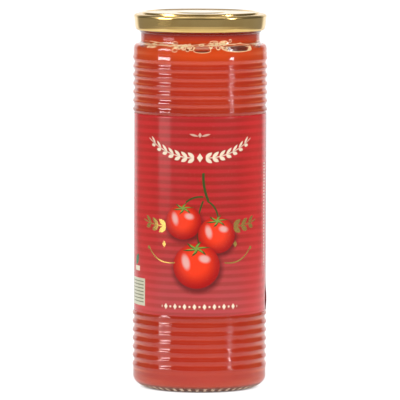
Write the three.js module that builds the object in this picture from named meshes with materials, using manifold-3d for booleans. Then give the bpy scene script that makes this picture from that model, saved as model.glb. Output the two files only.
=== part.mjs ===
import * as THREE from 'three';
import { mergeVertices } from 'three/addons/utils/BufferGeometryUtils.js';
import Module from 'manifold-3d';

// A tall ribbed glass jar of tomato passata with a wrap-round paper label and a gold twist-off lid.
// Millimetres, +Z up. The origin is the middle of the face it stands on, the label's front faces -Y.

// Whole jar
const HEIGHT = 188.6;
const SIDES = 40;

// Glass body
const CREST_RADIUS = 33.65;
const RIB_DEPTH = 0.8;
const RIB_PITCH = 4.3;
const RIBS = 7;
const LOWER_FIRST_CREST = 11.7;
const UPPER_FIRST_CREST = 139.8;
const PANEL_RADIUS = 32.55;
const SMOOTH_RADIUS = 33.3;
const HEEL_WIDTH = 8.8;
const HEEL_HEIGHT = 6.0;
const BEARING_WIDTH = 2.3;
const PUSH_UP = 1.8;
const PUSH_UP_EDGE = 5.0;
const WALL = 2.8;
const FLOOR = 3.0;
const FLOOR_CROWN = 1.2;
const CROWN_WIDTH = 15.0;
const INNER_HEEL = 5.0;

// Glass neck and finish
const SHOULDER_BOTTOM = 171.2;
const SHOULDER_TOP = 174.7;
const SHOULDER_ROUND = 2.4;
const INNER_ROUND = 2.4;
const NECK_FILLET = 1.9;
const NECK_RADIUS = 29.75;
const NECK_BORE = 27.2;
const BEAD_RADIUS = 30.9;
const BEAD_HEIGHT = 179.6;
const BEAD_ROUND = 1.1;
const BORE_EDGE = 0.6;
const BORE_TOP = 178.7;
const FINISH_RADIUS = 28.6;
const RIM_HEIGHT = 187.4;
const RIM_ROUND = 1.0;
const RIM_BORE = 26.6;
const PANEL_EDGE = 0.15;

// Passata
const CLEARANCE = 0.3;
const FILL_LEVEL = 181.3;
const FILL_DISH = 1.4;
const POCKET_LEVEL = 171.1;
const POCKET_DEPTH = 2.2;
const POCKET_INSET = 0.9;

// Label
const LABEL_BOTTOM = 38.6;
const LABEL_TOP = 138.1;
const LABEL_RADIUS = 33.0;
const LABEL_PAPER = 0.25;
const LAP_ANGLE = 14;

// Lid
const LID_RADIUS = 33.15;
const LID_BOTTOM = 179.5;
const LID_SHEET = 0.6;
const PLATEAU_RADIUS = 29.3;
const RIM_WIDTH = 1.1;
const RIM_SOFT = 0.4;
const RIM_FOOT = 187.6;
const PANEL_DIP = 0.4;
const SHOULDER_RING = 187.5;
const CORNER_ROUND = 1.4;
const SKIRT_TAPER = 0.34;
const CURL_WIDTH = 1.1;
const CURL_HEIGHT = 2.2;
const CURL_LIP = 0.6;
const BUTTON_RADIUS = 11.0;
const BUTTON_RISE = 0.25;

const DEGREE = Math.PI / 180;
const wasm = await Module();
wasm.setup();

// Points of an elliptic arc about (r, z), from one angle to another in degrees, ends included.
function arc(r, z, halfWidth, halfHeight, from, to, steps) {
  const points = [];
  for (let i = 0; i <= steps; i++) {
    const angle = (from + ((to - from) * i) / steps) * DEGREE;
    points.push(new THREE.Vector2(r + halfWidth * Math.cos(angle), z + halfHeight * Math.sin(angle)));
  }
  return points;
}

// Straight stretches through [r, z] pairs.
function line(...pairs) {
  return pairs.map(([r, z]) => new THREE.Vector2(r, z));
}

// Rings one above another: a cosine wave from the trough below the first crest to that above the
// last. The end trough next to a smooth wall only sinks to that wall's radius.
function ribs(firstCrest, smoothEnd) {
  const points = [];
  const stepsPerRib = 4;
  for (let i = 0; i <= RIBS * stepsPerRib; i++) {
    const turn = i / stepsPerRib - 0.5;
    const runsOut = smoothEnd === 'below' ? turn < 0 : turn > RIBS - 1;
    const depth = runsOut ? CREST_RADIUS - SMOOTH_RADIUS : RIB_DEPTH;
    const swell = (1 + Math.cos(2 * Math.PI * turn)) / 2;
    points.push(new THREE.Vector2(CREST_RADIUS - depth * (1 - swell), firstCrest + turn * RIB_PITCH));
  }
  return points;
}

// Turns an outline of (r, z) points round the Z axis.
function turned(outline) {
  return new THREE.LatheGeometry(outline, SIDES).rotateX(Math.PI / 2);
}

// A closed geometry as a solid that can be cut.
function solidOf(geometry) {
  const bare = geometry.clone();
  bare.deleteAttribute('normal');
  bare.deleteAttribute('uv');
  const merged = mergeVertices(bare, 1e-3);
  const index = merged.index.array;
  const corners = [];
  for (let i = 0; i < index.length; i += 3) {
    const [a, b, c] = [index[i], index[i + 1], index[i + 2]];
    if (a !== b && b !== c && c !== a) {
      corners.push(a, b, c);
    }
  }
  return new wasm.Manifold(new wasm.Mesh({
    numProp: 3,
    vertProperties: Float32Array.from(merged.attributes.position.array),
    triVerts: Uint32Array.from(corners),
  }));
}

// A cut solid as a geometry again.
function geometryOf(solid) {
  const mesh = solid.getMesh();
  const geometry = new THREE.BufferGeometry();
  geometry.setAttribute('position', new THREE.BufferAttribute(Float32Array.from(mesh.vertProperties), 3));
  geometry.setIndex(new THREE.BufferAttribute(Uint32Array.from(mesh.triVerts), 1));
  geometry.computeVertexNormals();
  return geometry;
}

// The inside of the glass, from the low crown of its floor up to the mouth, drawn in by a gap.
function bore(gap, top) {
  const wallRadius = CREST_RADIUS - RIB_DEPTH - WALL - gap;
  const floor = FLOOR + gap;
  const neck = NECK_BORE - gap;
  return [
    ...line([0, floor + FLOOR_CROWN], [CROWN_WIDTH, floor + FLOOR_CROWN / 3]),
    ...arc(wallRadius - INNER_HEEL, floor + INNER_HEEL, INNER_HEEL, INNER_HEEL, -90, 0, 5),
    ...arc(wallRadius - INNER_ROUND, SHOULDER_BOTTOM - INNER_ROUND / 2, INNER_ROUND, INNER_ROUND, 0, 45, 2),
    ...line([neck, SHOULDER_TOP - BORE_EDGE], [neck, top]),
  ];
}

// Ribbed glass: push-up base, round heel, ribs below and above the label panel, shoulder, neck,
// bead and mouth, then down the inside.
function glassJar() {
  const heelCentre = SMOOTH_RADIUS - HEEL_WIDTH;
  const bearingInside = heelCentre - BEARING_WIDTH;
  const shoulderRadius = SMOOTH_RADIUS - SHOULDER_ROUND;
  const shoulderLevel = (SHOULDER_BOTTOM + SHOULDER_TOP) / 2 - SHOULDER_ROUND;
  const rimMiddle = (FINISH_RADIUS + RIM_BORE) / 2;
  const rimHalf = (FINISH_RADIUS - RIM_BORE) / 2;
  const rimLevel = RIM_HEIGHT - RIM_ROUND;
  const outline = [
    ...line([0, PUSH_UP], [bearingInside - PUSH_UP_EDGE, PUSH_UP * 0.8], [bearingInside, 0]),
    ...arc(heelCentre, HEEL_HEIGHT, HEEL_WIDTH, HEEL_HEIGHT, -90, 0, 5),
    ...ribs(LOWER_FIRST_CREST, 'below').slice(0, -2),
    ...line([PANEL_RADIUS, LABEL_BOTTOM - PANEL_EDGE], [PANEL_RADIUS, LABEL_TOP + PANEL_EDGE]),
    ...ribs(UPPER_FIRST_CREST, 'above').slice(1),
    ...arc(shoulderRadius, shoulderLevel, SHOULDER_ROUND, SHOULDER_ROUND, 0, 52, 3),
    ...arc(NECK_RADIUS + NECK_FILLET, SHOULDER_TOP, NECK_FILLET, NECK_FILLET, 232, 180, 2),
    ...line([NECK_RADIUS, BEAD_HEIGHT - 1.5 * BEAD_ROUND]),
    ...arc(BEAD_RADIUS - BEAD_ROUND, BEAD_HEIGHT, BEAD_ROUND, BEAD_ROUND, -50, 50, 3),
    ...line([FINISH_RADIUS, BEAD_HEIGHT + 1.2 * BEAD_ROUND], [FINISH_RADIUS, rimLevel]),
    ...arc(rimMiddle, rimLevel, rimHalf, RIM_ROUND, 45, 180, 3),
    ...bore(0, BORE_TOP).reverse(),
  ];
  return turned(outline);
}

// Air caught against the glass under the shoulder, as flat ellipsoids that cut into the passata:
// a wide one and an oval one in front, smaller ones at the left, and a loose row round the back.
function airPockets() {
  const front = [
    { angle: 39, width: 7.6, height: 1.7, level: 0.4 },
    { angle: 2, width: 4.3, height: 1.1, level: 0.0 },
    { angle: -33, width: 2.4, height: 1.3, level: 0.7 },
    { angle: -21, width: 2.0, height: 1.2, level: 0.2 },
    { angle: 18, width: 2.4, height: 1.4, level: 1.6 },
  ];
  const back = Array.from({ length: 5 }, (_, i) => ({
    angle: 90 + i * 44,
    width: 3.2 + 1.5 * Math.sin(i * 2.1),
    height: 1.3,
    level: 0.5 * Math.cos(i * 1.7),
  }));
  return [...front, ...back].map(({ angle, width, height, level }) => {
    const reach = CREST_RADIUS - RIB_DEPTH - WALL - POCKET_INSET;
    const pocket = new THREE.SphereGeometry(1, 10, 6).scale(width, POCKET_DEPTH, height);
    return pocket.translate(0, -reach, POCKET_LEVEL + level).rotateZ(angle * DEGREE);
  });
}

// Passata filling the jar up into the neck, its top a shallow dish.
function passata() {
  const outline = [
    ...bore(CLEARANCE, FILL_LEVEL),
    ...line([NECK_BORE * 0.8, FILL_LEVEL - FILL_DISH * 0.7], [0, FILL_LEVEL - FILL_DISH]),
  ];
  let solid = solidOf(turned(outline));
  for (const pocket of airPockets()) {
    solid = solid.subtract(solidOf(pocket));
  }
  return geometryOf(solid);
}

// Paper wrapped once round the panel. The outer edge of the lap is on the +X side, and the sheet
// under it eases back to one thickness.
function label() {
  const outer = [];
  const inner = [];
  const steps = SIDES * 2;
  for (let i = 0; i < steps; i++) {
    const angle = i * (360 / steps);
    const lap = angle <= LAP_ANGLE ? LABEL_PAPER * (1 - 0.5 * (angle / LAP_ANGLE)) : 0;
    const radius = LABEL_RADIUS + lap;
    const bearing = angle * DEGREE;
    outer.push(new THREE.Vector2(radius * Math.cos(bearing), radius * Math.sin(bearing)));
    const inside = LABEL_RADIUS - LABEL_PAPER;
    inner.push(new THREE.Vector2(inside * Math.cos(bearing), inside * Math.sin(bearing)));
  }
  const section = new THREE.Shape(outer);
  section.holes.push(new THREE.Path(inner));
  const depth = LABEL_TOP - LABEL_BOTTOM;
  return new THREE.ExtrudeGeometry(section, { depth, bevelEnabled: false }).translate(0, 0, LABEL_BOTTOM);
}

// Pressed sheet lid: safety button, sunk panel, raised rim, shoulder ring, tapered skirt and the
// curl along its lower edge, then back along the inside.
function lid() {
  const panel = HEIGHT - PANEL_DIP;
  const rim = PLATEAU_RADIUS - RIM_WIDTH;
  const skirtFoot = LID_RADIUS - SKIRT_TAPER;
  const curlMiddle = skirtFoot - CURL_WIDTH;
  const lip = curlMiddle - CURL_LIP;
  const corner = LID_RADIUS - CORNER_ROUND;
  const outside = [
    ...line([lip, LID_BOTTOM + CURL_LIP]),
    ...arc(curlMiddle, LID_BOTTOM + CURL_HEIGHT, CURL_WIDTH, CURL_HEIGHT, -90, 0, 4),
    ...arc(corner, SHOULDER_RING - CORNER_ROUND, CORNER_ROUND, CORNER_ROUND, 0, 90, 4),
    ...line([PLATEAU_RADIUS, RIM_FOOT]),
    ...arc(rim, HEIGHT - RIM_SOFT, RIM_WIDTH, RIM_SOFT, 0, 120, 4),
    ...line([rim - RIM_WIDTH, panel], [BUTTON_RADIUS + RIM_WIDTH, panel]),
    ...line([BUTTON_RADIUS, panel + BUTTON_RISE], [0, panel + BUTTON_RISE]),
  ];
  const under = panel - LID_SHEET;
  const ringUnder = SHOULDER_RING - LID_SHEET;
  const inside = line(
    [0, under],
    [PLATEAU_RADIUS - LID_SHEET, under],
    [PLATEAU_RADIUS - LID_SHEET, ringUnder],
    [corner, ringUnder],
    [LID_RADIUS - LID_SHEET, ringUnder - CORNER_ROUND],
    [skirtFoot - LID_SHEET, LID_BOTTOM + CURL_HEIGHT],
    [lip, LID_BOTTOM + CURL_HEIGHT - CURL_LIP],
    [lip, LID_BOTTOM + CURL_LIP],
  );
  return turned([...outside, ...inside]);
}

// Materials
function glass() {
  return new THREE.MeshStandardMaterial({
    color: 0xdfe9e4,
    roughness: 0.03,
    metalness: 0,
    transparent: true,
    opacity: 0.35,
  });
}

function tomato() {
  return new THREE.MeshStandardMaterial({ color: 0xb83422, roughness: 0.35, metalness: 0 });
}

function printedPaper() {
  return new THREE.MeshStandardMaterial({ color: 0xc4302f, roughness: 0.5, metalness: 0 });
}

function goldLacquer() {
  return new THREE.MeshStandardMaterial({ color: 0xb9995a, roughness: 0.25, metalness: 1 });
}

function part(name, geometry, material) {
  const mesh = new THREE.Mesh(geometry, material);
  mesh.name = name;
  return mesh;
}

const jar = new THREE.Group();
jar.add(
  part('glass_jar', glassJar(), glass()),
  part('passata', passata(), tomato()),
  part('label', label(), printedPaper()),
  part('lid', lid(), goldLacquer()),
);

export default jar;
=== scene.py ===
"""Looks of a tall ribbed jar of tomato passata: clear glass, thick filling, printed label, gold lid.

Metres throughout. Heights and radii repeat the solids' own driving dimensions, so that every piece
lies where its solid does. The front of the label faces -Y, and an azimuth is counted from there
towards +X.
"""

import math

import bpy
import numpy as np
from mathutils import Matrix, Vector


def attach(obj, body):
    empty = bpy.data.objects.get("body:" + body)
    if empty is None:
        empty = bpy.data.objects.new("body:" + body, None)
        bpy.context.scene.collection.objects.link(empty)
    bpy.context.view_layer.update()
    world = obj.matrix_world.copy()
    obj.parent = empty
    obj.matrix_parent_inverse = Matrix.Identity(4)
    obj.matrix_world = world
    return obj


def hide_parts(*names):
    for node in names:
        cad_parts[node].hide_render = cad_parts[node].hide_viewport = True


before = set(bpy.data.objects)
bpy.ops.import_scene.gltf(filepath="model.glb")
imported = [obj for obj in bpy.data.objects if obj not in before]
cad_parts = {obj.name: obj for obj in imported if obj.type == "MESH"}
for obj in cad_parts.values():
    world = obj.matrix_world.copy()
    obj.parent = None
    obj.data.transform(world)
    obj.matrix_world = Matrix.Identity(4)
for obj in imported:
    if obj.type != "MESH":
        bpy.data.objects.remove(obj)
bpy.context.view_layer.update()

MM = 0.001
TAU = 2 * math.pi
SEED = 7127
BLACK = (0.0, 0.0, 0.0, 1.0)
WHITE = (1.0, 1.0, 1.0, 1.0)

# Jar heights and radii, in millimetres
HEIGHT = 188.6
CREST_RADIUS = 33.65
RIB_DEPTH = 0.8
RIB_PITCH = 4.3
RIBS = 7
LOWER_FIRST_CREST = 11.7
UPPER_FIRST_CREST = 139.8
SMOOTH_RADIUS = 33.3
HEEL_WIDTH = 8.8
HEEL_HEIGHT = 6.0
BEARING_WIDTH = 2.3
PUSH_UP = 1.8
WALL = 2.8
FLOOR = 3.0
FLOOR_CROWN = 1.2
INNER_HEEL = 5.0
SHOULDER_BOTTOM = 171.2
SHOULDER_TOP = 174.7
NECK_RADIUS = 29.75
NECK_BORE = 27.2
BEAD_RADIUS = 30.9
BEAD_HEIGHT = 179.6
FINISH_RADIUS = 28.6
RIM_HEIGHT = 187.4
RIM_BORE = 26.6
FILL_LEVEL = 181.3
FILL_DISH = 1.4
LABEL_BOTTOM = 38.6
LABEL_TOP = 138.1
LABEL_RADIUS = 33.0
LAP_ANGLE = 14.0
LID_RADIUS = 33.15
LID_BOTTOM = 179.5
LID_SHEET = 0.35
PLATEAU_RADIUS = 29.3
PANEL_DIP = 0.4
SHOULDER_RING = 187.5
CORNER_RADIUS = 1.4
RIM_FOOT = 187.6
SKIRT_TAPER = 0.34
CURL_WIDTH = 1.1
CURL_HEIGHT = 4.2
BUTTON_RADIUS = 11.0


def linear(red, green, blue):
    """A screen colour of 0 to 255 as the linear values that a shader takes."""
    share = np.array([red, green, blue]) / 255
    return (*np.where(share <= 0.04045, share / 12.92, ((share + 0.055) / 1.055) ** 2.4).tolist(), 1.0)


# Outlines

def arc(r, z, half_width, half_height, start, end, count):
    """Points (r + half_width cos a, z + half_height sin a) for a from start to end in degrees."""
    angle = np.radians(np.linspace(start, end, count))
    return np.column_stack([r + half_width * np.cos(angle), z + half_height * np.sin(angle)])


def line(*pairs):
    """The given (r, z) points."""
    return np.array(pairs, float)


def even(outline, step):
    """The same outline with points no further apart than step, straight between its own points."""
    gaps = np.linalg.norm(np.diff(outline, axis=0), axis=1)
    counts = np.maximum(1, np.ceil(gaps / step).astype(int))
    spans = [a + (b - a) * np.linspace(0, 1, n, endpoint=False)[:, None]
             for a, b, n in zip(outline[:-1], outline[1:], counts)]
    return np.vstack([*spans, outline[-1:]])


def ribs(first_crest, count=13):
    """Rings: radius = crest - depth (1 - ((1 + cos(turn)) / 2) ^ 1.3), from the trough under the first
    crest up. The two end troughs that run into a smooth wall only sink to that wall's radius."""
    turn = np.linspace(-0.5, RIBS - 0.5, RIBS * count + 1)
    runs_out = turn < 0 if first_crest == LOWER_FIRST_CREST else turn > RIBS - 1
    depth = np.where(runs_out, CREST_RADIUS - SMOOTH_RADIUS, RIB_DEPTH)
    radius = CREST_RADIUS - depth * (1 - ((1 + np.cos(TAU * turn)) / 2) ** 1.3)
    return np.column_stack([radius, first_crest + turn * RIB_PITCH])


# Meshes

def mesh_piece(name, points, quads, triangles=()):
    """A smooth-shaded object from arrays of points in millimetres, quads and triangles."""
    quads = np.asarray(quads, np.int32).reshape(-1, 4)
    triangles = np.asarray(triangles, np.int32).reshape(-1, 3)
    mesh = bpy.data.meshes.new(name)
    mesh.vertices.add(len(points))
    mesh.vertices.foreach_set("co", (np.asarray(points, np.float64) * MM).astype(np.float32).ravel())
    corners = np.concatenate([quads.ravel(), triangles.ravel()])
    sizes = np.concatenate([np.full(len(quads), 4), np.full(len(triangles), 3)])
    mesh.loops.add(len(corners))
    mesh.loops.foreach_set("vertex_index", corners)
    mesh.polygons.add(len(sizes))
    mesh.polygons.foreach_set("loop_start", np.concatenate([[0], np.cumsum(sizes)[:-1]]).astype(np.int32))
    mesh.polygons.foreach_set("use_smooth", np.ones(len(sizes), bool))
    mesh.update(calc_edges=True)
    mesh.validate()
    piece = bpy.data.objects.new(name, mesh)
    bpy.context.scene.collection.objects.link(piece)
    return piece


def grid_quads(rows, columns, wrap_rows, wrap_columns):
    """Corner numbers of the quads between the points of a grid, row after row."""
    row = np.arange(rows if wrap_rows else rows - 1)[:, None]
    column = np.arange(columns if wrap_columns else columns - 1)[None, :]
    next_row, next_column = (row + 1) % rows, (column + 1) % columns
    corners = [row * columns + column, row * columns + next_column,
               next_row * columns + next_column, next_row * columns + column]
    return np.stack(np.broadcast_arrays(*corners), axis=-1).reshape(-1, 4)


def around(radius, azimuth, height):
    """Points at a radius and azimuth: (radius sin azimuth, -radius cos azimuth, height)."""
    return np.stack(np.broadcast_arrays(radius * np.sin(azimuth), -radius * np.cos(azimuth), height), axis=-1)


def turned_piece(name, outline, sides, shape=None):
    """An outline of (r, z) turned round Z. With its ends on the axis the poles are closed by fans,
    else it closes on itself. shape(azimuth, r, z) gives new (r, z) arrays for a relief."""
    azimuth = (np.arange(sides) / sides * TAU)[None, :]
    has_poles = outline[0, 0] < 1e-9 and outline[-1, 0] < 1e-9
    rings = outline[1:-1] if has_poles else outline
    r, z = np.broadcast_arrays(rings[:, :1], azimuth)[0], np.broadcast_arrays(rings[:, 1:], azimuth)[0]
    if shape is not None:
        r, z = shape(azimuth, r, z)
    points = around(r, azimuth, z).reshape(-1, 3)
    quads = grid_quads(len(rings), sides, not has_poles, True)
    if not has_poles:
        return mesh_piece(name, points, quads)
    first, last = len(points), len(points) + 1
    poles = [[0, 0, outline[0, 1]], [0, 0, outline[-1, 1]]]
    column = np.arange(sides)
    after = (column + 1) % sides
    top = (len(rings) - 1) * sides
    fans = np.vstack([np.column_stack([np.full(sides, first), after, column]),
                      np.column_stack([np.full(sides, last), top + column, top + after])])
    return mesh_piece(name, np.vstack([points, poles]), quads, fans)


def point_attribute(piece, name, values):
    """Stores one number a vertex, padded with zeros for the poles."""
    values = np.asarray(values, np.float32).ravel()
    padded = np.zeros(len(piece.data.vertices), np.float32)
    padded[:len(values)] = values
    piece.data.attributes.new(name, "FLOAT", "POINT").data.foreach_set("value", padded)


# Shader maths

# Outputs of nodes, by number
CAMERA_RAY, SHADOW_RAY, DIFFUSE_RAY = 0, 1, 2
FACING = 1
NUMBER_OF_ATTRIBUTE = 2
MIXED_COLOUR = 2
GENERATED_PLACE, OBJECT_PLACE = 0, 3


class Wire:
    """One socket of a material, so that arithmetic on it adds Math nodes."""

    def __init__(self, board, socket):
        self.board = board
        self.socket = socket

    def math(self, operation, *others):
        values = dict(enumerate([self, *others]))
        return self.board.node("Math", {"operation": operation}, values)

    def __add__(self, other):
        return self.math("ADD", other)

    __radd__ = __add__

    def __sub__(self, other):
        return self.math("SUBTRACT", other)

    def __rsub__(self, other):
        return self.board.node("Math", {"operation": "SUBTRACT"}, {0: other, 1: self})

    def __mul__(self, other):
        return self.math("MULTIPLY", other)

    __rmul__ = __mul__

    def __truediv__(self, other):
        return self.math("DIVIDE", other)

    def __neg__(self):
        return self * -1.0

    def __pow__(self, other):
        return self.math("POWER", other)

    def __abs__(self):
        return self.math("ABSOLUTE")

    def sin(self):
        return self.math("SINE")

    def cos(self):
        return self.math("COSINE")

    def root(self):
        return self.math("SQRT")

    def most(self, other):
        return self.math("MAXIMUM", other)

    def cycle(self, period):
        """The rest of the value in a repeat of that period, counted from its middle."""
        return self.math("FLOORED_MODULO", period) - period / 2

    def rise(self, start, end):
        """0 below start, 1 above end, smooth between."""
        settings = {"interpolation_type": "SMOOTHSTEP"}
        return self.board.node("MapRange", settings, {0: self, 1: start, 2: end, 3: 0.0, 4: 1.0})

    def fall(self, start, end):
        """1 below start, 0 above end, smooth between."""
        settings = {"interpolation_type": "SMOOTHSTEP"}
        return self.board.node("MapRange", settings, {0: self, 1: start, 2: end, 3: 1.0, 4: 0.0})


class Board:
    """The emptied node tree of a new material, or of a world."""

    def __init__(self, name, owner=None):
        self.owner = owner or bpy.data.materials.new(name)
        self.owner.use_nodes = True
        self.tree = self.owner.node_tree
        self.tree.nodes.clear()

    def put(self, socket, value):
        if isinstance(value, Wire):
            self.tree.links.new(value.socket, socket)
        else:
            socket.default_value = value

    def node(self, kind, settings=None, values=None, out=0):
        """Adds a node, sets its settings, then its sockets by name or number, and gives one output."""
        made = self.tree.nodes.new("ShaderNode" + kind)
        for key, value in (settings or {}).items():
            if key == "stops":
                self.set_stops(made.color_ramp, value)
            else:
                setattr(made, key, value)
        for key, value in (values or {}).items():
            self.put(made.inputs[key], value)
        return Wire(self, made.outputs[out])

    @staticmethod
    def set_stops(ramp, stops):
        while len(ramp.elements) < len(stops):
            ramp.elements.new(1.0)
        for element, (place, colour) in zip(ramp.elements, stops):
            element.position = place
            element.color = colour

    def mix(self, share, under, over):
        """A colour: under where share is 0, over where it is 1."""
        return self.node("Mix", {"data_type": "RGBA"}, {0: share, 6: under, 7: over}, MIXED_COLOUR)

    def object_place(self):
        return self.node("TexCoord", None, None, OBJECT_PLACE)

    def ray(self, kind):
        """1 for rays of that kind, else 0."""
        return self.node("LightPath", None, None, kind)

    def turned_away(self):
        """0 where the surface faces the view, up to 1 where it is seen edge on."""
        return self.node("LayerWeight", None, {"Blend": 0.5}, FACING)

    def axes(self, vector):
        """The three numbers of a vector."""
        apart = self.tree.nodes.new("ShaderNodeSeparateXYZ")
        self.put(apart.inputs[0], vector)
        return [Wire(self, output) for output in apart.outputs]

    def noise(self, place, scale, detail=2.0, roughness=0.5, stretch=None):
        """Noise of 0 to 1, with scale in features a metre."""
        if stretch is not None:
            place = self.node("VectorMath", {"operation": "MULTIPLY"}, {0: place, 1: stretch})
        return self.node("TexNoise", None, {"Vector": place, "Scale": scale, "Detail": detail,
                                            "Roughness": roughness})

    def bump(self, height, strength, distance):
        return self.node("Bump", None, {"Height": height, "Strength": strength, "Distance": distance})

    def principled(self, **sockets):
        named = {key.replace("_", " ").title().replace("Ior", "IOR"): value for key, value in sockets.items()}
        return self.node("BsdfPrincipled", None, named)

    def finish(self, surface, kind="Material"):
        end = self.tree.nodes.new("ShaderNodeOutput" + kind)
        self.put(end.inputs["Surface"], surface)
        return self.owner


# Glass jar

def bore_outline(grow):
    """The inside of the glass from the middle of its floor up to the neck, wider by grow."""
    wall = CREST_RADIUS - RIB_DEPTH - WALL + grow
    floor = FLOOR - grow
    return np.vstack([
        line([0, floor + FLOOR_CROWN], [8, floor + 0.83 * FLOOR_CROWN], [15, floor + 0.35 * FLOOR_CROWN]),
        arc(wall - INNER_HEEL, floor + INNER_HEEL, INNER_HEEL, INNER_HEEL, -90, 0, 18),
        arc(wall - 2.4, SHOULDER_BOTTOM - 1.6, 2.4, 2.8, 0, 45, 8),
        line([NECK_BORE + grow, SHOULDER_TOP - 0.6], [NECK_BORE + grow, SHOULDER_TOP + 4.0]),
    ])


def glass_outline():
    """From under the base, up the outside over both sets of rings, round the mouth and down inside."""
    heel_centre = SMOOTH_RADIUS - HEEL_WIDTH
    bearing_inside = heel_centre - BEARING_WIDTH
    panel = LABEL_RADIUS - 0.2
    shoulder_middle = (SHOULDER_BOTTOM + SHOULDER_TOP) / 2
    mouth, lip = (FINISH_RADIUS + RIM_BORE) / 2, (FINISH_RADIUS - RIM_BORE) / 2
    lower = ribs(LOWER_FIRST_CREST)
    upper = ribs(UPPER_FIRST_CREST)
    return np.vstack([
        line([0, PUSH_UP]),
        arc(bearing_inside - 5, 0.2, 5, PUSH_UP - 0.6, 90, 5, 10),
        arc(bearing_inside + 0.4, 0.4, 0.4, 0.4, 180, 270, 4),
        even(line([bearing_inside + 0.6, 0.0], [heel_centre, 0.0]), 0.6),
        arc(heel_centre, HEEL_HEIGHT, HEEL_WIDTH, HEEL_HEIGHT, -88, 0, 26),
        lower[:-5],
        even(line([panel, LABEL_BOTTOM + 0.3], [panel, LABEL_TOP + 0.3]), 9.0),
        upper[5:],
        arc(SMOOTH_RADIUS - 2.4, shoulder_middle - 2.6, 2.4, 2.6, 0, 52, 9),
        arc(NECK_RADIUS + 1.9, SHOULDER_TOP, 1.9, 2.3, 232, 180, 8),
        line([NECK_RADIUS, BEAD_HEIGHT - 1.8], [NECK_RADIUS + 0.1, BEAD_HEIGHT - 1.4]),
        arc(BEAD_RADIUS - 1.1, BEAD_HEIGHT, 1.1, 0.9, -60, 60, 10),
        line([FINISH_RADIUS, BEAD_HEIGHT + 1.3], [FINISH_RADIUS, RIM_HEIGHT - 1.0]),
        arc(mouth, RIM_HEIGHT - 1.0, lip, 1.0, 20, 180, 12),
        even(bore_outline(0.0)[::-1], 6.0),
    ])


KNURLS = 48
KNURL_HEIGHT = 2.2
KNURL_DRAW = 0.30
KNURL_LIFT = 0.34


def knurled_base(azimuth, r, z):
    """Short bars round the bearing edge: a rounded triangle wave of the azimuth, its value being
    arcsin(0.97 sin(bars azimuth)) over a quarter turn, lifts the gaps between them and draws them in.
    It fades as exp(-(z / height)^4) and stops at the push-up."""
    wave = np.arcsin(0.97 * np.sin(azimuth * KNURLS)) / (math.pi / 2)
    fade = np.exp(-((z / KNURL_HEIGHT) ** 4)) * (r > SMOOTH_RADIUS - HEEL_WIDTH - BEARING_WIDTH + 1)
    return r - KNURL_DRAW * fade * (1 + wave) / 2, z + KNURL_LIFT * fade * (1 + wave) / 2


def glass_material():
    """Clear glass with a breath of green, slightly soft highlights and faint drawn waviness. Under its
    heel it gives way to rough bars: pale dashes that are partly wear and partly painted glints of
    light, and painted dark shade between them. Lamps reach what is behind it."""
    board = Board("clear_jar_glass")
    place = board.object_place()
    waviness = board.noise(place, 55.0, 2.0, 0.5, (1.0, 1.0, 0.35))
    glass = board.principled(
        base_color=(0.985, 0.995, 0.99, 1.0), roughness=0.1, ior=1.5, transmission_weight=1.0,
        normal=board.bump(waviness, 0.004, 0.0001))
    x, y, z = board.axes(place)
    bars = -(x.math("ARCTAN2", -y) * KNURLS).sin()
    # Painted light and shade under the heel: pale dashes on the bars, partly wear and partly painted glints,
    # over painted dark shade
    wear_and_glints = board.noise(place, 800.0, 2.0, 0.6)
    pale = bars.rise(-0.2, 0.7) * z.rise(0.3 * MM, 0.9 * MM) * z.fall(1.6 * MM, 2.8 * MM)
    pale = board.mix(pale * wear_and_glints.rise(0.33, 0.6), (0.13, 0.055, 0.035, 1.0), (0.80, 0.61, 0.44, 1.0))
    frosted_bars_with_painted_light = board.principled(base_color=pale, roughness=0.6, ior=1.2)
    glass = board.node("MixShader", None, {0: z.fall(1.8 * MM, 4.0 * MM) * 0.9, 1: glass, 2: frosted_bars_with_painted_light})
    lets_through = board.node("BsdfTransparent", None, {"Color": (0.97, 0.97, 0.97, 1.0)})
    lamp_ray = board.ray(SHADOW_RAY).most(board.ray(DIFFUSE_RAY))
    return board.finish(board.node("MixShader", None, {0: lamp_ray, 1: glass, 2: lets_through}))


def make_glass():
    piece = turned_piece("jar_glass", glass_outline(), KNURLS * 6, knurled_base)
    piece.data.materials.append(glass_material())
    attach(piece, "root")
    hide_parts("glass_jar")
    return piece


# Passata

# Air caught under the shoulder: azimuth in degrees, height, half width, half height and depth
POCKETS = (
    (37.8, 171.5, 9.0, 1.75, 1.0),
    (39.5, 170.7, 7.4, 0.75, 1.6),
    (1.8, 170.6, 4.2, 1.10, 1.6),
    (-11.8, 171.0, 1.0, 0.85, 0.8),
    (-19.8, 171.9, 1.25, 1.05, 0.9),
    (-25.0, 172.6, 1.5, 0.6, 0.5),
    (-41.0, 172.2, 4.2, 0.35, 0.4),
    (14.0, 174.6, 2.2, 0.6, 0.4),
    (24.5, 174.3, 2.4, 0.9, 0.6),
)
# Clusters of fine bubbles: azimuth, height, spread in degrees and in height
CLUSTERS = (
    (-27.0, 172.2, 7.5, 0.75),
    (-15.0, 171.9, 4.0, 0.7),
    (14.0, 173.0, 6.0, 0.7),
    (25.0, 174.0, 6.0, 0.8),
    (-52.0, 172.4, 5.0, 0.6),
)
CLUSTERS_BEHIND = 9
POCKETS_BEHIND = 8
FINE_BUBBLES = 12
FROTH_RADIUS = 30.0
FROTH_INSIDE = 20.0
FROTH_FOOT = 160.0
FILM_WIDTH = 0.14
INTO_WALL = 0.07
FILLING_SIDES = 600
# Masks kept on the filling: films, painted shade in the hollows, painted highlights and foam
MARKS = ("film", "hollow", "gleam", "foam")


def froth_clusters():
    """The chosen clusters in front, then seeded ones round the sides and back."""
    draw = np.random.default_rng(SEED)
    count = CLUSTERS_BEHIND
    behind = np.column_stack([
        np.arange(76, 290, 24) + draw.uniform(-8, 8, count), 172.4 + draw.normal(0, 0.5, count),
        draw.uniform(4, 9, count), draw.uniform(0.5, 0.9, count)])
    return np.vstack([np.array(CLUSTERS), behind])


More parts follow.
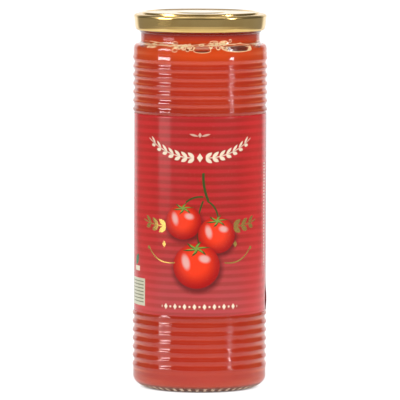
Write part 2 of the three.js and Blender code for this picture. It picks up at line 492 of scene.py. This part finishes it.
def froth_pockets():
    """The chosen pockets, wide ones behind, and fine bubbles strewn normally about each cluster."""
    draw = np.random.default_rng(SEED + 1)
    count = POCKETS_BEHIND
    wide = np.column_stack([
        np.arange(95, 265, 24) + draw.uniform(-8, 8, count), 171.6 + draw.normal(0, 0.5, count),
        draw.uniform(2.0, 6.5, count), draw.uniform(0.7, 1.3, count), draw.uniform(0.6, 1.2, count)])
    count = FINE_BUBBLES
    fine = []
    for angle, height, spread, lift in froth_clusters():
        radius = draw.uniform(0.4, 1.05, count)
        fine.append(np.column_stack([
            angle + draw.normal(0, spread, count), height + draw.normal(0, lift, count),
            radius * draw.uniform(1, 1.8, count), radius * draw.uniform(0.5, 0.9, count),
            draw.uniform(0.1, 0.6, count)]))
    return np.vstack([np.array(POCKETS), wide, *fine])


def froth_films(azimuth, z):
    """Long thin films between the bubbles: exp(-((z - level) / 0.2)^2) with the level at
    z0 + a sin(m azimuth + p) + b sin(n azimuth + q), and only along part of the way round."""
    films = np.zeros_like(z)
    for z0, a, m, p, b, n, q in ((172.9, 0.9, 3, 0.4, 0.25, 11, 1.0), (171.8, 0.7, 4, 2.2, 0.30, 9, 0.3),
                                 (173.6, 0.6, 2, 4.1, 0.20, 13, 2.0)):
        level = z0 + a * np.sin(m * azimuth + p) + b * np.sin(n * azimuth + q)
        shown = np.clip(0.4 + 1.2 * np.sin(5 * azimuth + 3 * q) + 0.5 * np.sin(17 * azimuth + p), 0, 1)
        films = np.maximum(films, np.exp(-(((z - level) / 0.20) ** 2)) * shown)
    return films


def froth_marks(azimuth, z):
    """How far the filling stands back from the glass, and masks of film, painted hollow shade, painted
    gleam and foam. A pocket is a flat ellipsoid: depth = full depth * sqrt(1 - q), q its squared
    distance in axes, and the film exp(-((q - 1) / steepness of q / width)^2) lies along its rim. Its
    lower half gets painted shade and, if it is deep, its upper half a painted highlight. Foam is a bell
    over each cluster. At the sides the filling also stands back in a thin ring under the shoulder, with
    a film on it."""
    depth, film, hollow, gleam, foam = (np.zeros_like(z) for _ in range(5))
    for angle, height, half_width, half_height, full in froth_pockets():
        turn = (azimuth - math.radians(angle) + math.pi) % TAU - math.pi
        side, rise = turn * FROTH_RADIUS / half_width, (z - height) / half_height
        q = side ** 2 + rise ** 2
        steepness = 2 * np.sqrt((side / half_width) ** 2 + (rise / half_height) ** 2) + 1e-6
        inside = np.clip((1 - q) * 2.5, 0, 1)
        depth = np.maximum(depth, full * np.sqrt(np.clip(1 - q, 0, 1)))
        film = np.maximum(film, np.exp(-((q - 1) / steepness / FILM_WIDTH) ** 2))
        # Painted shade in the lower half of a pocket, and below a painted highlight in the upper half of deep
        # ones
        dark = min(1.0, full) * np.clip(0.35 - 2.2 * rise, 0, 1)
        hollow = np.maximum(hollow, inside * dark)
        gleam = np.maximum(gleam, inside * (full > 1.2) * np.clip(2.2 * rise, 0, 1))
    for angle, height, spread, lift in froth_clusters():
        turn = np.degrees((azimuth - math.radians(angle) + math.pi) % TAU - math.pi)
        foam = np.maximum(foam, np.exp(-0.5 * ((turn / spread) ** 2 + ((z - height) / (1.2 * lift)) ** 2)))
    film = np.maximum(film, froth_films(azimuth, z))
    side = np.clip((abs(np.sin(azimuth)) - 0.80) * 8, 0, 1)
    ring = side * np.clip((z - 170.4) * 3, 0, 1) * np.clip((173.4 - z) * 3, 0, 1)
    film = np.maximum(film, 0.6 * ring)
    return np.maximum(depth, 0.3 * ring), film, hollow, gleam, foam


def make_passata():
    """The filling: the bore's outline a little into the wall, dense rows where the air pockets lie,
    and a shallow dished top with a slow swell."""
    bore = bore_outline(INTO_WALL)
    shoulder_start = SHOULDER_BOTTOM - 4.0
    start = line([CREST_RADIUS - RIB_DEPTH - WALL + INTO_WALL, shoulder_start])
    low = even(np.vstack([bore[bore[:, 1] < shoulder_start], start]), 4.0)[:-1]
    shoulder = even(np.vstack([start, bore[bore[:, 1] >= shoulder_start]]), 0.18)
    neck = even(line(bore[-1], [NECK_BORE + INTO_WALL, FILL_LEVEL]), 0.5)
    top = even(line([NECK_BORE - 1.2, FILL_LEVEL - 0.5], [NECK_BORE * 0.6, FILL_LEVEL - 1.2],
                    [0, FILL_LEVEL - FILL_DISH]), 1.5)
    outline = np.vstack([low, shoulder, neck[1:], top])
    marks = {}

    def relief(azimuth, r, z):
        wall = (r > FROTH_INSIDE) & (z > FROTH_FOOT)
        depth, *shades = froth_marks(azimuth, np.array(z))
        marks.update(zip(MARKS, (shade * wall for shade in shades)))
        swell = 0.35 * np.sin(3 * azimuth + 0.6) * (z > FILL_LEVEL - 2) * np.clip(1 - r / 40, 0, 1)
        return r - depth * wall, z + swell

    piece = turned_piece("passata_fill", outline, FILLING_SIDES, relief)
    for name, values in marks.items():
        point_attribute(piece, name, values)
    piece.data.materials.append(passata_material())
    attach(piece, "root")
    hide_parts("passata")
    return piece


def passata_material():
    """Fine milled tomato: red with slow warm clouds and fine flecks, with painted light in level bands
    behind the ribs and a painted edge sheen where it turns away, orange under the shoulder and painted
    shade up the neck under the lid. Pale foam, painted gleams and films with a painted glow lie round
    the air there, and painted dark shade in the lower halves of the hollows in it."""
    board = Board("tomato_passata")
    place = board.object_place()
    height = board.axes(place)[2] / MM
    clouds = board.noise(place, 38.0, 3.0, 0.55, (1.0, 1.0, 0.6))
    flecks = board.noise(place, 900.0, 3.0, 0.6)
    streaks = board.noise(place, 160.0, 2.0, 0.5, (0.35, 0.35, 2.2))
    red = board.mix(clouds.rise(0.3, 0.7), linear(190, 44, 22), linear(196, 56, 28))
    red = board.mix(flecks.rise(0.55, 0.8) * 0.35, red, linear(214, 84, 48))
    red = board.mix(flecks.fall(0.25, 0.42) * 0.25, red, linear(150, 26, 14))
    # Painted light: lighter level bands behind the rib rings, standing in for light the ribbed glass focuses
    # onto the filling
    rib_light_bands = ((height - LOWER_FIRST_CREST - 2.2) * (TAU / RIB_PITCH)).cos().rise(-0.1, 0.9)
    low_ribs = height.fall(LABEL_BOTTOM - 2, LABEL_BOTTOM)
    low_ribs = low_ribs * height.rise(LOWER_FIRST_CREST - 4, LOWER_FIRST_CREST - 2)
    high_ribs = height.rise(LABEL_TOP, LABEL_TOP + 1) * height.fall(SHOULDER_BOTTOM - 3, SHOULDER_BOTTOM - 1)
    red = board.mix(rib_light_bands * (low_ribs * 0.45 + high_ribs * 0.55), red, linear(222, 80, 44))
    red = board.mix(height.fall(29, 59) * 0.5, red, linear(178, 46, 26))
    orange = height.rise(162, 168) * height.fall(173.5, 178)
    red = board.mix(orange * (0.6 + 0.4 * streaks), red, linear(230, 80, 22))
    neck = height.rise(174, 178)
    red = board.mix(neck * (0.55 + 0.45 * streaks.rise(0.4, 0.6)), red, linear(194, 52, 24))
    # Painted shade: the top of the neck is darkened, as the shade under the lid
    red = board.mix(height.rise(176.5, 178.5) * 0.8, red, linear(136, 20, 8))
    # Painted light: the filling is lightened towards peach where it turns away, most on the rib bands, as a
    # painted edge sheen
    edge = board.turned_away().rise(0.12, 0.32) * (0.15 + 0.4 * rib_light_bands * (low_ribs + high_ribs))
    red = board.mix(edge, red, linear(242, 132, 80))
    marks = {name: board.node("Attribute", {"attribute_name": name}, None, NUMBER_OF_ATTRIBUTE)
             for name in MARKS}
    red = board.mix(marks["foam"] * (0.1 + 0.6 * flecks.rise(0.4, 0.6)), red, linear(226, 150, 92))
    # Painted highlight in the upper halves of deep pockets, then painted shade in their lower halves
    red = board.mix(marks["gleam"] * 0.8, red, linear(214, 188, 166))
    red = board.mix(marks["hollow"] * 0.85, red, linear(96, 34, 18))
    red = board.mix(marks["film"].rise(0.15, 0.85), red, linear(255, 222, 176))
    # The films keep their own pale colour and also get a painted glow, by emission, standing in for light
    # scattered in them
    glow = board.mix(marks["film"].rise(0.15, 0.85), BLACK, linear(255, 214, 160))
    grain = board.bump(flecks, 0.25, 0.0002)
    return board.finish(board.principled(
        base_color=red, roughness=0.5, ior=1.08, subsurface_weight=0.08,
        subsurface_radius=(0.004, 0.001, 0.0006), subsurface_scale=1.0, normal=grain,
        emission_color=glow, emission_strength=0.3))


# Label

PAPER = 0.12
LIFT = 0.45
LAP_STEP = 0.16
SHEET_START = -270.0
SHEET_END = 90.0 + LAP_ANGLE
SHEET_LENGTH = math.radians(SHEET_END - SHEET_START) * LABEL_RADIUS
# The height that the print counts from at the sheet's lower edge
PRINT_FOOT = 39.3


def label_radius(turn, z):
    """Paper drawn tight on the panel. Its outer end climbs over the inner one by a paper's thickness,
    as the square root of the way along the lap. Near the foot of the lap the corner stands off, as a
    bell of the height that decays with the turn, and the sheet has faint sine ripples."""
    past = np.clip((turn - SHEET_START) / LAP_ANGLE, 0, 1)
    climb = (1 - past) ** 0.5
    foot = np.exp(-(((z - LABEL_BOTTOM - 6) / 5.0) ** 2)) * np.exp(-(turn - SHEET_START) / 5.0)
    ripple = 0.03 * np.sin(np.radians(turn) * 3 + z * 0.11) * np.sin(z * 0.05)
    edge = np.exp(-(LABEL_TOP - z) / 0.8) + np.exp(-(z - LABEL_BOTTOM) / 0.8)
    return LABEL_RADIUS - 0.02 + climb * LAP_STEP + LIFT * foot + ripple - 0.03 * edge


def make_label():
    """A sheet on a grid of turn and height, wrapped by label_radius, given its thickness inwards."""
    turns = np.linspace(SHEET_START, SHEET_END, 401)
    heights = np.linspace(LABEL_BOTTOM, LABEL_TOP, 90)
    turn, z = np.meshgrid(turns, heights)
    points = around(label_radius(turn, z), np.radians(turn), z).reshape(-1, 3)
    quads = grid_quads(len(heights), len(turns), False, False)
    piece = mesh_piece("paper_label", points, quads)
    across = (turn - SHEET_START) / (SHEET_END - SHEET_START)
    up = (z - LABEL_BOTTOM) / (LABEL_TOP - LABEL_BOTTOM)
    flat = np.stack([across, up], axis=-1).reshape(-1, 2)
    corners = np.empty(len(piece.data.loops), np.int32)
    piece.data.loops.foreach_get("vertex_index", corners)
    piece.data.uv_layers.new(name="print").data.foreach_set("uv", flat[corners].astype(np.float32).ravel())
    thickness = piece.modifiers.new("paper", "SOLIDIFY")
    thickness.thickness = PAPER * MM
    thickness.offset = -1.0
    piece.data.materials.append(label_material())
    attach(piece, "root")
    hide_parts("label")
    return piece


INK_RED = linear(200, 48, 50)
INK_DEEP = linear(172, 45, 39)
INK_PINK = linear(194, 86, 88)
# Painted light: the next colour is no ink but a painted sheen for where the label turns away
PAINTED_EDGE_LIGHT = linear(248, 60, 56)
INK_CREAM = linear(250, 232, 206)
INK_TOMATO = linear(255, 66, 34)
INK_SHADE = linear(176, 24, 24)
INK_MAROON = linear(96, 30, 30)
INK_SHINE = linear(240, 190, 182)
INK_GREEN = linear(132, 160, 70)
INK_DARK_GREEN = linear(64, 84, 40)
INK_GOLD = linear(226, 186, 104)
INK_FADED = linear(180, 76, 74)
INK_SEA_GREEN = linear(70, 120, 80)
INK_OLIVE_WHITE = linear(222, 218, 190)
INK_MOSS = linear(96, 104, 72)
SOFT = 0.12


class Print:
    """Masks of simple printed shapes, from places on the flat label in millimetres."""

    def __init__(self, board, across, up):
        self.board = board
        self.across = across
        self.up = up

    def moved(self, centre, angle=0.0):
        """Places counted from a centre, turned by an angle in degrees."""
        x, y = self.across - centre[0], self.up - centre[1]
        if angle == 0.0:
            return Print(self.board, x, y)
        c, s = math.cos(math.radians(angle)), math.sin(math.radians(angle))
        return Print(self.board, x * c + y * s, y * c - x * s)

    def reach(self):
        """Distance from the origin."""
        return (self.across * self.across + self.up * self.up).root()

    def ellipse(self, centre, half_width, half_height, angle=0.0, soft=SOFT):
        """1 inside an ellipse. Its distance is (|p / axes| - 1) times the smaller axis."""
        at = self.moved(centre, angle)
        reach = Print(self.board, at.across / half_width, at.up / half_height).reach()
        small = min(half_width, half_height)
        return reach.fall(1 - soft / small, 1 + soft / small)

    def leaf(self, centre, length, width, angle):
        """A pointed leaf: as wide as width (1 - (2x / length)^2) / 2 either side of its rib."""
        at = self.moved(centre, angle)
        half = (1.0 - (at.across * (2 / length)) ** 2.0) * (width / 2)
        return (abs(at.up) - half).fall(-SOFT, SOFT)

    def bar(self, centre, length, width, angle=0.0, soft=SOFT, bow=0.0):
        """A stroke of that length and width, bowed like a parabola by bow."""
        at = self.moved(centre, angle)
        middle = at.up
        if bow != 0.0:
            middle = middle - (1.0 - (at.across * (2 / length)) ** 2.0) * bow
        return (abs(at.across) - length / 2).fall(-soft, soft) * (abs(middle) - width / 2).fall(-soft, soft)

    def lozenge(self, centre, half_width, half_height):
        at = self.moved(centre)
        x, y = abs(at.across) / half_width, abs(at.up) / half_height
        return (x + y).fall(1 - SOFT / half_height, 1 + SOFT / half_height)

    def star(self, centre, radius, points, squash):
        """Sepals: distance < radius (0.22 + 0.78 (1 - k)^2), k from 0 on a sepal's rib to 1 between."""
        at = self.moved(centre)
        at = Print(self.board, at.across, at.up / squash)
        reach = at.reach()
        angle = at.up.math("ARCTAN2", at.across) + reach * (0.35 / radius)
        between = abs(angle.cycle(TAU / points)) * (points / math.pi)
        rim = ((1.0 - between) ** 2.0) * (0.78 * radius) + 0.22 * radius
        return (reach - rim).fall(-SOFT, SOFT)


def joined(masks):
    """The union of masks."""
    whole = masks[0]
    for mask in masks[1:]:
        whole = whole.most(mask)
    return whole


def label_material():
    """Varnished red print with faint level bands and a painted edge sheen that lightens it where it
    turns away, under a garland, tomatoes on the vine, gold scrolls and plain fields where a label has
    its small print."""
    board = Board("printed_label")
    u, v, _ = board.axes(board.node("UVMap", {"uv_map": "print"}))
    page = Print(board, u * SHEET_LENGTH + math.radians(SHEET_START) * LABEL_RADIUS,
                 v * (LABEL_TOP - LABEL_BOTTOM) + PRINT_FOOT)
    place = board.object_place()

    wobble = board.noise(place, 26.0, 2.0, 0.5, (1.0, 1.0, 0.4))
    bands = (page.up * (TAU / 3.86) + wobble * 2.2 + 1.1).sin().rise(-0.75, 0.75)
    ink = board.mix(bands, INK_DEEP, INK_RED)
    faded = board.mix(bands, INK_FADED, INK_PINK)
    ink = board.mix(page.up.fall(44, 92) * 0.7, ink, faded)
    # Painted light: lighter towards the edges where the label turns away, a painted sheen
    ink = board.mix(board.turned_away().rise(0.08, 0.5) * 0.36, ink, PAINTED_EDGE_LIGHT)
    ink = front_print(board, page, ink)
    gold = gold_print(page)
    ink = board.mix(gold, ink, INK_GOLD)
    ink = side_print(board, page, ink)
    ink = back_print(board, page, ink)

    speckle = board.noise(place, 2400.0, 2.0, 0.6)
    ink = board.mix(speckle.rise(0.6, 0.85) * 0.12, ink, INK_CREAM)
    fibres = board.noise(place, 700.0, 3.0, 0.6, (0.4, 0.4, 1.6))
    return board.finish(board.principled(
        base_color=ink, metallic=gold, roughness=0.13 + 0.06 * fibres + 0.10 * gold, ior=1.30,
        normal=board.bump(fibres, 0.05, 0.0001)))


def front_print(board, page, ink):
    """The front: small crest, garland, three tomatoes on the vine, and a row of lozenges and dots."""
    vine = joined([
        page.bar((3.0, 104.0), 14.0, 1.3, 100.0, SOFT, 0.8),
        page.bar((-2.6, 97.6), 9.0, 0.9, 18.0, SOFT, 1.0),
        page.bar((6.4, 93.0), 9.5, 0.9, -56.0, SOFT, 1.2),
        page.bar((0.6, 86.5), 21.0, 0.9, 84.0, SOFT, 1.6),
    ])
    ink = board.mix(vine, ink, INK_DARK_GREEN)
    for centre, radius in (((-8.4, 86.5), 9.2), ((8.8, 80.0), 9.6), ((-1.6, 64.6), 11.8)):
        ink = one_tomato(board, page, ink, centre, radius)
    mirrored = Print(board, abs(page.across), page.up)
    garland = spray(mirrored, 2.8, 27.3, 118.3, 0.014, 3.5, 4.3, 1.9)
    ink = board.mix(garland.most(mirrored.lozenge((0.0, 118.4), 1.5, 2.2)), ink, INK_CREAM)
    crest = joined([mirrored.leaf((3.0, 129.6), 4.6, 1.0, 14.0), page.lozenge((0.0, 129.6), 0.9, 1.3)])
    ink = board.mix(crest * 0.55, ink, INK_CREAM)
    step = Print(board, page.across.cycle(5.0), page.up - 44.2)
    dots = abs(abs(step.across) - 2.5).most(abs(step.up)).fall(0.36, 0.6)
    row = step.lozenge((0.0, 0.0), 1.0, 1.5).most(dots)
    return board.mix(row * mirrored.across.fall(19.7, 20.0), ink, INK_CREAM)


def spray(page, start, end, height, rise, pitch, length, width):
    """Paired leaves on both sides of a rising stem: height + rise * (x - start)^2. One pair repeats
    every pitch and shrinks outwards."""
    along = page.across - start
    off = page.up - height - along * along * rise
    size = 1.0 - along * (0.32 / (end - start))
    pair = Print(page.board, along.cycle(pitch), abs(off))
    at = pair.moved((-0.04 * length, 0.31 * length), 36.0)
    half = (1.0 - (at.across / size * (2 / length)) ** 2.0) * (size * 0.5 * width)
    span = along.rise(0.0, 0.2)
    leaves = (abs(at.up) - half).fall(-SOFT, SOFT) * page.across.fall(end - 0.2, end)
    stem = (abs(off) - 0.05 * length).fall(-SOFT, SOFT) * page.across.fall(end + 0.5, end + 1.5)
    return leaves.most(stem) * span


def gold_print(page):
    """A spray of gold leaves either side of the tomatoes, over a thin bowed stroke."""
    half = Print(page.board, abs(page.across), page.up)
    return joined([
        spray(half, 17.6, 31.4, 84.0, 0.012, 4.6, 5.6, 2.7),
        half.bar((20.5, 69.5), 17.0, 0.62, 24.0, SOFT, -2.6),
        half.ellipse((28.6, 72.9), 0.85, 0.85),
        half.lozenge((18.6, 75.2), 1.1, 1.7),
    ])


def one_tomato(board, page, ink, centre, radius):
    """A round tomato: lit red, deeper to its lower rim, with a soft shadow, two shines and sepals."""
    x, y = centre
    shadow = page.ellipse((x + 0.5, y - radius * 0.16), radius * 1.08, radius, 0.0, 1.8)
    ink = board.mix(shadow * 0.8, ink, INK_MAROON)
    body = page.ellipse(centre, radius, radius * 0.95, 0.0, 0.25)
    lit = page.ellipse((x - radius * 0.05, y + radius * 0.12), radius * 0.72, radius * 0.70, 0.0,
                       radius * 0.36)
    ink = board.mix(body, ink, board.mix(lit, INK_SHADE, INK_TOMATO))
    shine = page.ellipse((x - radius * 0.45, y + radius * 0.16), radius * 0.15, radius * 0.30, 14.0, 0.8)
    glint = page.ellipse((x + radius * 0.34, y + radius * 0.30), radius * 0.22, radius * 0.15, -14.0, 0.8)
    ink = board.mix(shine.most(glint) * 0.85, ink, INK_SHINE)
    sepals = page.star((x, y + radius * 0.72), radius * 0.62, 6, 0.55)
    inner = page.star((x, y + radius * 0.74), radius * 0.46, 6, 0.55)
    return board.mix(inner, board.mix(sepals, ink, INK_DARK_GREEN), INK_GREEN)


def side_print(board, page, ink):
    """Fine ticks up the right side, a green and a white mark and a ruled pale field on the left."""
    ticks = abs(page.up.cycle(1.55)).fall(0.33, 0.57)
    column = abs(page.across - 44.0).fall(0.45, 0.7) * abs(page.up - 89).fall(25.9, 26.2)
    ink = board.mix(ticks * column, ink, INK_CREAM)
    ink = board.mix(page.leaf((-40.4, 66.0), 6.5, 3.6, 60.0), ink, INK_SEA_GREEN)
    ink = board.mix(page.bar((-40.2, 61.6), 6.0, 2.4), ink, INK_CREAM)
    ink = board.mix(page.bar((-42.0, 50.0), 20.0, 13.6, 0.0, 0.25), ink, INK_OLIVE_WHITE)
    rules = abs(page.up.cycle(1.7)).fall(0.18, 0.42) * page.bar((-42.0, 50.0), 17.6, 11.0, 0.0, 0.2)
    return board.mix(rules * 0.75, ink, INK_MOSS)


def back_print(board, page, ink):
    """A cream field inside a gold frame, with ragged plain lines and two green leaves."""
    back = -math.pi * LABEL_RADIUS
    ink = board.mix(page.bar((back, 88.0), 58.0, 66.0, 0.0, 0.3), ink, INK_GOLD)
    ink = board.mix(page.bar((back, 88.0), 56.6, 64.6, 0.0, 0.2), ink, INK_CREAM)
    ragged = board.noise(board.node("CombineXYZ", None, {0: (page.up / 3.2).math("FLOOR"), 1: 3.3}), 5.0, 0.0)
    length = (abs(page.across - back) - (19.0 + 7.0 * ragged)).fall(-0.2, 0.2)
    rows = abs(page.up.cycle(3.2)).fall(0.3, 0.55) * length * abs(page.up - 84.8).fall(25.5, 25.7)
    ink = board.mix(rows * 0.85, ink, INK_DEEP)
    leaves = [page.leaf((back, 116.0), 11.0, 4.2, 30.0), page.leaf((back + 5, 115.6), 9.0, 3.4, -24.0)]
    return board.mix(joined(leaves), ink, INK_GREEN)


# Lid

def lid_outline():
    """Round the rolled edge, up the skirt, over the sloping shoulder to the raised rim, across the
    sunk panel to the button, then back along the inside."""
    panel = HEIGHT - PANEL_DIP
    rim = PLATEAU_RADIUS - 1.1
    skirt_foot = LID_RADIUS - SKIRT_TAPER
    corner = LID_RADIUS - CORNER_RADIUS
    return np.vstack([
        arc(skirt_foot - CURL_WIDTH, LID_BOTTOM + 0.6, 0.5, 0.6, -180, -95, 7),
        arc(skirt_foot - CURL_WIDTH, LID_BOTTOM + CURL_HEIGHT, CURL_WIDTH, CURL_HEIGHT, -90, -25, 24),
        even(line([skirt_foot - 0.08, LID_BOTTOM + CURL_HEIGHT * 0.6],
                  [LID_RADIUS - 0.02, SHOULDER_RING - CORNER_RADIUS - 0.2]), 0.8),
        arc(corner, SHOULDER_RING - CORNER_RADIUS, CORNER_RADIUS, CORNER_RADIUS, 0, 86, 18),
        line([PLATEAU_RADIUS + 0.30, RIM_FOOT - 0.03], [PLATEAU_RADIUS - 0.04, RIM_FOOT + 0.02]),
        line([PLATEAU_RADIUS - 0.15, RIM_FOOT + 0.12]),
        arc(rim, HEIGHT - 0.4, 1.1, 0.4, 0, 130, 16),
        line([rim - 0.95, HEIGHT - 0.30], [rim - 1.15, panel + 0.02]),
        even(line([rim - 1.35, panel], [BUTTON_RADIUS + 1.6, panel]), 2.0),
        arc(BUTTON_RADIUS + 1.4, panel + 0.3, 0.3, 0.3, 270, 200, 3),
        arc(BUTTON_RADIUS - 0.4, panel - 0.05, 0.9, 0.35, 30, 90, 6),
        even(line([BUTTON_RADIUS - 0.6, panel + 0.3], [0, panel + 0.38]), 2.0),
        even(line([0, panel - LID_SHEET], [PLATEAU_RADIUS - 0.5, panel - LID_SHEET]), 4.0),
        line([PLATEAU_RADIUS - 0.2, RIM_FOOT - 0.3], [LID_RADIUS - 1.8, SHOULDER_RING - LID_SHEET - 0.2]),
        line([LID_RADIUS - LID_SHEET - 0.2, SHOULDER_RING - 2.0], [skirt_foot - LID_SHEET, LID_BOTTOM + 2.4]),
    ])


def lid_material():
    """Gold lacquer on tinplate: warm metal under a thin clear coat, with faint orange peel and rubbed
    specks, and more satin on the shoulder's corner and in the groove inside it."""
    board = Board("gold_lacquer")
    place = board.object_place()
    cloud = board.noise(place, 60.0, 2.0, 0.5)
    peel = board.noise(place, 1500.0, 2.0, 0.5)
    height = board.axes(place)[2] / MM
    corner = height.rise(SHOULDER_RING - 1.3, SHOULDER_RING - 0.9)
    corner = corner * height.fall(SHOULDER_RING - 0.5, SHOULDER_RING)
    groove = height.rise(SHOULDER_RING - 0.5, SHOULDER_RING) * height.fall(RIM_FOOT + 0.3, RIM_FOOT + 0.8)
    rub = board.noise(place, 420.0, 4.0, 0.65, (1.0, 1.0, 3.0))
    gold = board.mix(cloud.rise(0.35, 0.65), (0.79, 0.53, 0.185, 1.0), (0.84, 0.59, 0.23, 1.0))
    gold = board.mix(rub.rise(0.66, 0.8) * 0.4, gold, (0.86, 0.72, 0.44, 1.0))
    return board.finish(board.principled(
        base_color=gold, metallic=1.0, roughness=0.08 + 0.06 * rub + 0.18 * corner + 0.12 * groove,
        coat_weight=0.15, coat_roughness=0.06, normal=board.bump(peel, 0.015, 0.0001)))


def make_lid():
    piece = turned_piece("twist_lid", lid_outline(), 256)
    piece.data.materials.append(lid_material())
    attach(piece, "root")
    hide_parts("lid")
    return piece


# Studio

CAMERA_DISTANCE = 2.49
CAMERA_ELEVATION = 5.07
CAMERA_ROLL = 0.18
FRAME_MM = 200.6
FRAME_CENTRE = 93.9
SENSOR = 36.0


def aim(thing, place, target):
    """Puts a lamp or camera at a place, looking at a target."""
    thing.location = place
    thing.rotation_euler = (Vector(target) - Vector(place)).to_track_quat("-Z", "Y").to_euler()


def make_camera():
    """A long lens a little above the jar's middle, rolled by the photo's slight lean."""
    lens = bpy.data.cameras.new("camera")
    lens.sensor_width = SENSOR
    lens.lens = SENSOR * CAMERA_DISTANCE / (FRAME_MM * MM)
    camera = bpy.data.objects.new("camera", lens)
    bpy.context.scene.collection.objects.link(camera)
    elevation = math.radians(CAMERA_ELEVATION)
    target = Vector((0.0001, 0, FRAME_CENTRE * MM))
    back = Vector((0, -math.cos(elevation), math.sin(elevation)))
    turn = (-back).to_track_quat("-Z", "Y").to_matrix() @ Matrix.Rotation(math.radians(CAMERA_ROLL), 3, "Z")
    camera.matrix_world = Matrix.Translation(target + back * CAMERA_DISTANCE) @ turn.to_4x4()
    bpy.context.scene.camera = camera


def lamp(name, azimuth, distance, size, brightness, height, elevation=0.0, kind="both"):
    """A soft box at an azimuth in degrees and a distance from the point that high on the axis, tilted
    by an elevation, of (width, height), and as bright as brightness times white paper: its power is
    brightness * pi * area. A "shine" adds no soft light and a "fill" isn't mirrored anywhere."""
    light = bpy.data.lights.new(name, "AREA")
    light.shape = "RECTANGLE"
    light.size, light.size_y = size
    light.energy = brightness * math.pi * size[0] * size[1]
    piece = bpy.data.objects.new(name, light)
    bpy.context.scene.collection.objects.link(piece)
    a, e = math.radians(azimuth), math.radians(elevation)
    target = Vector((0, 0, height))
    way = Vector((math.sin(a) * math.cos(e), -math.cos(a) * math.cos(e), math.sin(e)))
    aim(piece, target + way * distance, target)
    piece.visible_diffuse = kind != "shine"
    piece.visible_glossy = kind != "fill"
    piece.visible_transmission = kind != "fill"
    return piece


def make_world():
    """White to the camera. To everything else a bright wall behind the jar and a dim room in front,
    with a paler floor and ceiling."""
    board = Board("studio", bpy.data.worlds.new("studio"))
    _, y, z = board.axes(board.node("TexCoord", None, None, GENERATED_PLACE))
    room = 0.10 + 0.22 * z.fall(-0.12, 0.02) + 0.60 * z.fall(-0.45, -0.25) + 0.30 * z.rise(0.62, 0.85)
    strength = room + (1.15 - room) * y.rise(0.72, 0.86)
    strength = strength + (1.0 - strength) * board.ray(CAMERA_RAY)
    light = board.node("Background", None, {"Color": WHITE, "Strength": strength})
    bpy.context.scene.world = board.finish(light, "World")


def make_floor():
    """A pale table top, level with the jar's base: near its front edge, reaching far back. It glows
    softly like lit frosted glass, most of all to the camera, but not under the jar."""
    front, rear, side, thick = -205.0, 7000.0, 450.0, 12.0
    x, y = np.meshgrid(np.linspace(-side, side, 9), np.linspace(front, rear, 9))
    top = np.stack([x, y, np.zeros_like(x)], axis=-1).reshape(-1, 3)
    floor = mesh_piece("pale_table", top, grid_quads(9, 9, False, False))
    sheet = floor.modifiers.new("thickness", "SOLIDIFY")
    sheet.thickness = thick * MM
    sheet.offset = -1.0
    board = Board("frosted_white_table")
    place = board.object_place()
    grain = board.noise(place, 40.0)
    shade = board.mix(grain, (0.34, 0.34, 0.34, 1.0), (0.36, 0.36, 0.36, 1.0))
    x, y, _ = board.axes(place)
    glow = (x * x + y * y).root().rise(0.0250, 0.0310) * (0.9 + 0.1 * y.rise(0.3, 1.2))
    glow = glow * (0.85 + 0.15 * board.ray(CAMERA_RAY))
    floor.data.materials.append(board.finish(board.principled(
        base_color=shade, roughness=0.9, ior=1.2, emission_strength=0.955,
        emission_color=board.mix(glow, BLACK, WHITE))))


def make_studio():
    make_camera()
    make_world()
    make_floor()
    lamp("strip_left", -66, 1.0, (0.40, 0.40), 19.0, 0.50, kind="shine")
    lamp("strip_left_low", -64, 1.0, (0.42, 0.10), 4.2, 0.065, kind="shine")
    lamp("strip_right", 57, 1.1, (0.15, 0.38), 24.0, 0.53, kind="shine")
    lamp("high_left", -62, 1.0, (0.36, 0.34), 2.4, 0.15, 72, "shine")
    lamp("high_right", 57, 1.0, (0.30, 0.34), 2.4, 0.15, 72, "shine")
    lamp("overhead", 10, 1.3, (1.6, 1.2), 1.35, 0.1, 80, "fill")
    lamp("fill_left", -42, 1.6, (1.2, 1.0), 2.7, 0.1, 8, "fill")
    lamp("fill_right", 46, 1.6, (1.2, 1.0), 2.9, 0.1, 8, "fill")
    scene = bpy.context.scene
    scene.view_settings.view_transform = "Standard"
    scene.view_settings.look = "None"


make_glass()
make_passata()
make_label()
make_lid()
make_studio()
